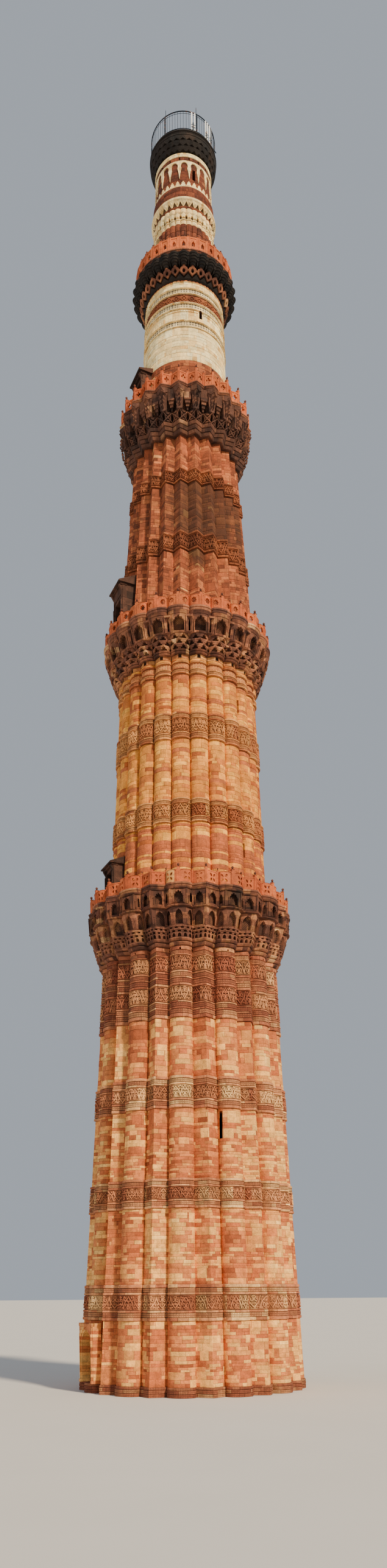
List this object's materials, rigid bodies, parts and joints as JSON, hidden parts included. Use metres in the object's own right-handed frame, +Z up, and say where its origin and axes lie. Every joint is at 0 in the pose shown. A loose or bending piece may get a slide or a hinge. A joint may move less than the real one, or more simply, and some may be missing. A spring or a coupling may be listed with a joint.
{
  "type": "fluted stone minaret, half-size scale model (1:2)",
  "caption": "Tall tapering fluted stone tower of five storeys with corbelled balconies, pierced parapets and an iron railing on top; hollow shaft with doorways and slit windows.",
  "frame": {"origin": "centre of the plinth's flat underside, where the tower stands on its foundation", "axes": "+Z up along the tower's axis, -Y towards the viewer of the picture, +X to the viewer's right"},
  "size_m": [7.1668, 7.1668, 37],
  "materials": {
    "mixed_stone": "dressed sandstone in red, pink and buff blocks",
    "buff_stone": "dressed buff sandstone with red courses",
    "red_stone": "dressed deep red sandstone",
    "carved_stone": "carved red sandstone",
    "weathered_stone": "carved sandstone, dark with weather",
    "parapet_stone": "fresh pink red sandstone",
    "marble": "warm white marble, lightly stained",
    "iron": "dark painted iron"
  },
  "bodies": {
    "root": {"balcony_1_arcade": "weathered_stone", "balcony_1_corbel": "weathered_stone", "balcony_1_door_frame": "carved_stone", "balcony_1_parapet": "parapet_stone", "balcony_1_slab": "weathered_stone", "balcony_2_arcade": "weathered_stone", "balcony_2_corbel": "weathered_stone", "balcony_2_door_frame": "carved_stone", "balcony_2_parapet": "parapet_stone", "balcony_2_slab": "weathered_stone", "balcony_3_brackets": "weathered_stone", "balcony_3_corbel": "weathered_stone", "balcony_3_door_frame": "carved_stone", "balcony_3_parapet": "parapet_stone", "balcony_3_slab": "weathered_stone", "balcony_4_corbel": "weathered_stone", "balcony_4_parapet": "parapet_stone", "balcony_4_slab": "weathered_stone", "entrance_frame": "carved_stone", "lightning_rod_1": "iron", "lightning_rod_2": "iron", "plinth": "mixed_stone", "storey_1_band_1": "carved_stone", "storey_1_band_2": "carved_stone", "storey_1_band_3": "carved_stone", "storey_1_band_4": "carved_stone", "storey_1_wall_1": "mixed_stone", "storey_1_wall_2": "mixed_stone", "storey_1_wall_3": "mixed_stone", "storey_1_wall_4": "mixed_stone", "storey_2_band_1": "carved_stone", "storey_2_band_2": "carved_stone", "storey_2_frieze": "carved_stone", "storey_2_wall_1": "buff_stone", "storey_2_wall_2": "buff_stone", "storey_2_wall_3": "buff_stone", "storey_3_band_1": "carved_stone", "storey_3_band_2": "carved_stone", "storey_3_door_wall": "red_stone", "storey_3_wall_1": "red_stone", "storey_3_wall_2": "red_stone", "storey_3_wall_3": "red_stone", "storey_4_lattice_band": "marble", "storey_4_wall_1": "marble", "storey_4_wall_2": "marble", "storey_5_arcade": "marble", "storey_5_columns": "red_stone", "storey_5_cornice": "marble", "storey_5_red_band": "red_stone", "top_corbel": "weathered_stone", "top_railing": "iron", "top_slab": "weathered_stone"}
  },
  "joints": []
}
